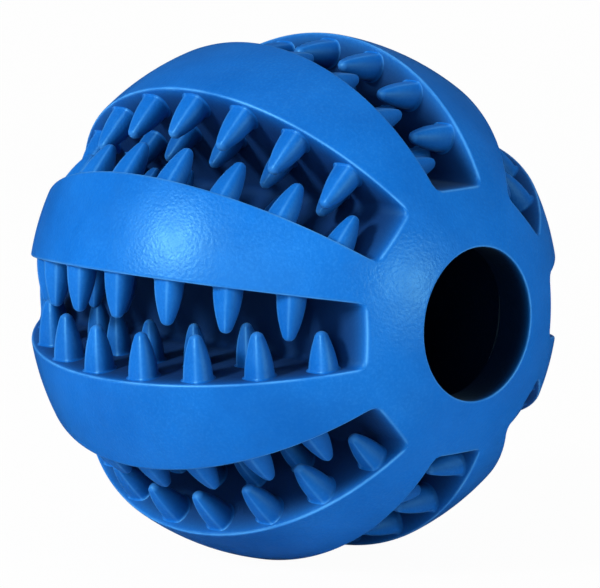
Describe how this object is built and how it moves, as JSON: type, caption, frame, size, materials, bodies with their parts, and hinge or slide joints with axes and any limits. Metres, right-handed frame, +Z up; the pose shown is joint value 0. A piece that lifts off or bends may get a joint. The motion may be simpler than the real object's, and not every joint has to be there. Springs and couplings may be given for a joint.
{
  "type": "treat dispensing ball",
  "caption": "Moulded rubber pet ball with a round treat mouth into a hollow core, and ribs parted by grooves whose walls carry interleaved rows of tapered teeth.",
  "frame": {"origin": "centre of the ball", "axes": "+Z up, -Y out of the treat mouth, one groove at the top and one at the bottom"},
  "size_m": [0.0686, 0.0684, 0.0686],
  "materials": {
    "blue_rubber": "moulded satin natural rubber, mid blue all through"
  },
  "bodies": {
    "root": {"mouth_collar": "blue_rubber", "core_tube": "blue_rubber", "rear_cap": "blue_rubber", "rib_1": "blue_rubber", "rib_2": "blue_rubber", "rib_3": "blue_rubber", "rib_4": "blue_rubber", "rib_5": "blue_rubber", "rib_6": "blue_rubber", "rib_7": "blue_rubber", "rib_8": "blue_rubber", "groove_1_left_outer_teeth": "blue_rubber", "groove_1_left_inner_teeth": "blue_rubber", "groove_1_right_outer_teeth": "blue_rubber", "groove_1_right_inner_teeth": "blue_rubber", "groove_2_left_outer_teeth": "blue_rubber", "groove_2_left_inner_teeth": "blue_rubber", "groove_2_right_outer_teeth": "blue_rubber", "groove_2_right_inner_teeth": "blue_rubber", "groove_3_left_outer_teeth": "blue_rubber", "groove_3_left_inner_teeth": "blue_rubber", "groove_3_right_outer_teeth": "blue_rubber", "groove_3_right_inner_teeth": "blue_rubber", "groove_4_left_outer_teeth": "blue_rubber", "groove_4_left_inner_teeth": "blue_rubber", "groove_4_right_outer_teeth": "blue_rubber", "groove_4_right_inner_teeth": "blue_rubber", "groove_5_left_outer_teeth": "blue_rubber", "groove_5_left_inner_teeth": "blue_rubber", "groove_5_right_outer_teeth": "blue_rubber", "groove_5_right_inner_teeth": "blue_rubber", "groove_6_left_outer_teeth": "blue_rubber", "groove_6_left_inner_teeth": "blue_rubber", "groove_6_right_outer_teeth": "blue_rubber", "groove_6_right_inner_teeth": "blue_rubber", "groove_7_left_outer_teeth": "blue_rubber", "groove_7_left_inner_teeth": "blue_rubber", "groove_7_right_outer_teeth": "blue_rubber", "groove_7_right_inner_teeth": "blue_rubber", "groove_8_left_outer_teeth": "blue_rubber", "groove_8_left_inner_teeth": "blue_rubber", "groove_8_right_outer_teeth": "blue_rubber", "groove_8_right_inner_teeth": "blue_rubber"}
  },
  "joints": []
}
